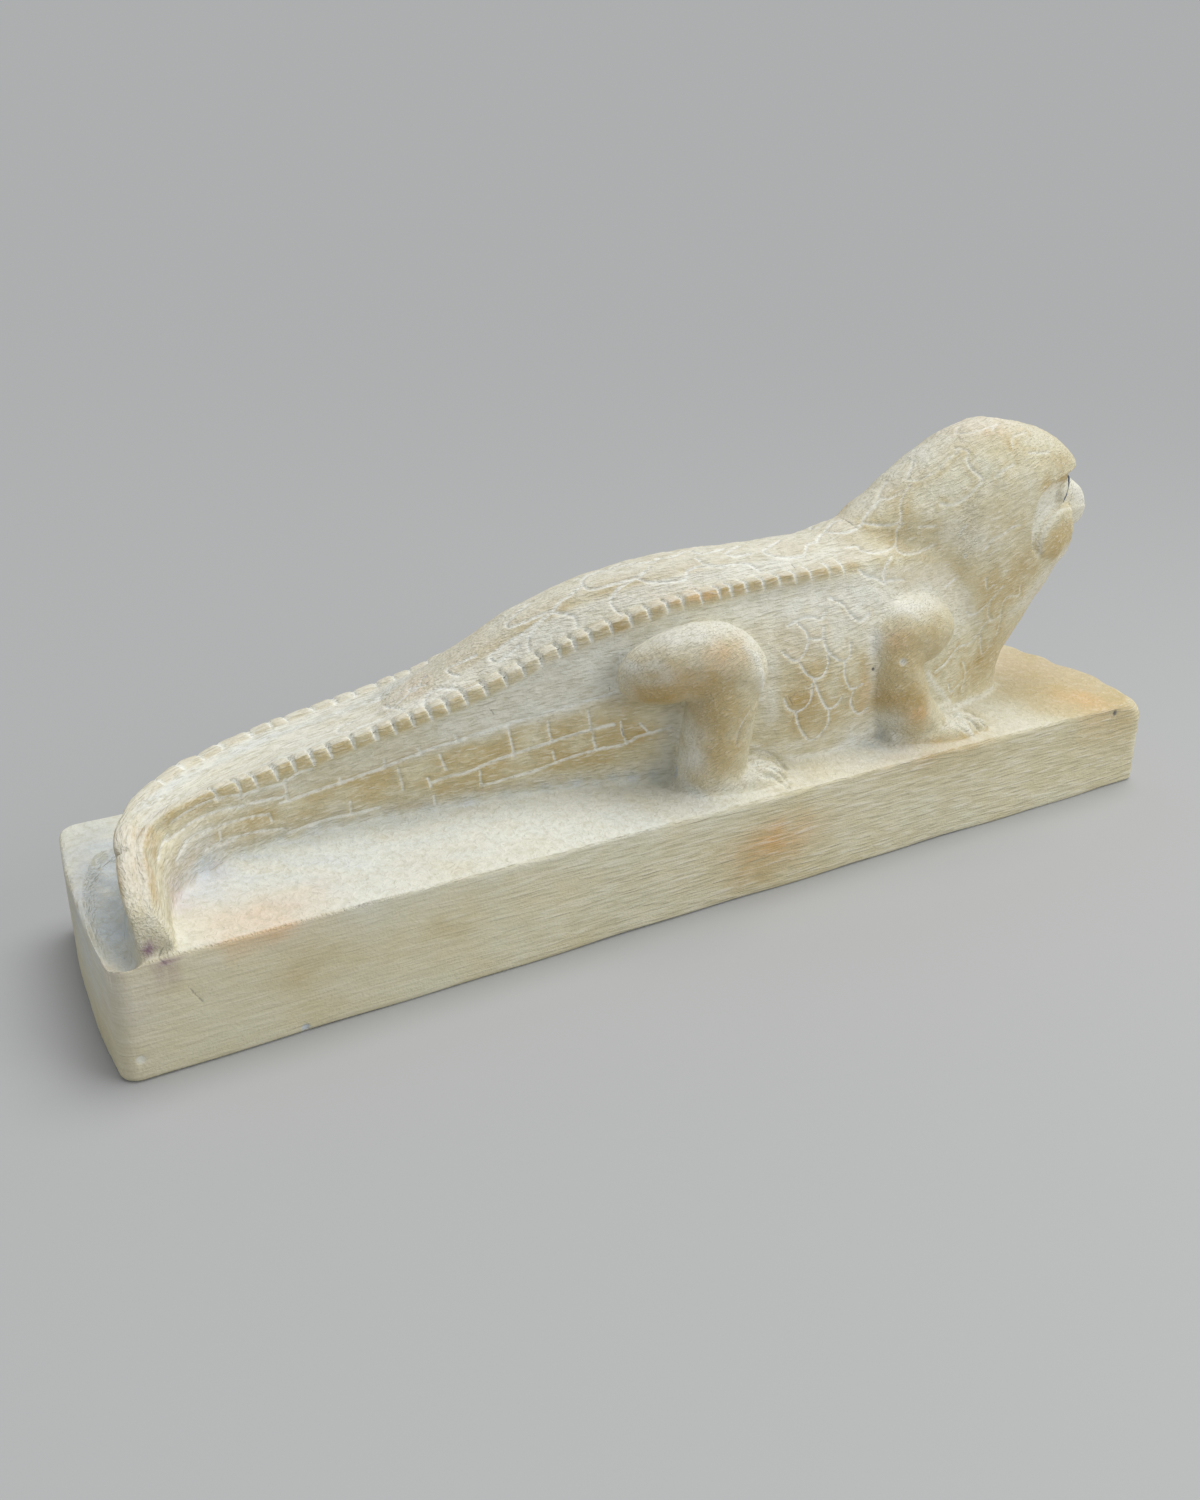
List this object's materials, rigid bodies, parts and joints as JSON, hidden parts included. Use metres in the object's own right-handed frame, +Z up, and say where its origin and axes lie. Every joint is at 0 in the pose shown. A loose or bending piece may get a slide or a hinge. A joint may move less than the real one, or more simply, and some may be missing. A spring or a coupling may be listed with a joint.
{
  "type": "crocodile figure",
  "caption": "Plaster figure of a falcon-headed crocodile with a toothed back and curled tail, lying on a long block plinth it is cast in one with.",
  "frame": {"origin": "middle of the plinth's underside", "axes": "+Z up, +X along the plinth from the tail towards the head, +Y towards the crocodile's left side"},
  "size_m": [0.3694, 0.081, 0.1315],
  "materials": {
    "plaster": "matte cream plaster with a tan wash, paler in the hollows and along the carved lines"
  },
  "bodies": {
    "root": {"crocodile_on_plinth": "plaster"}
  },
  "joints": []
}
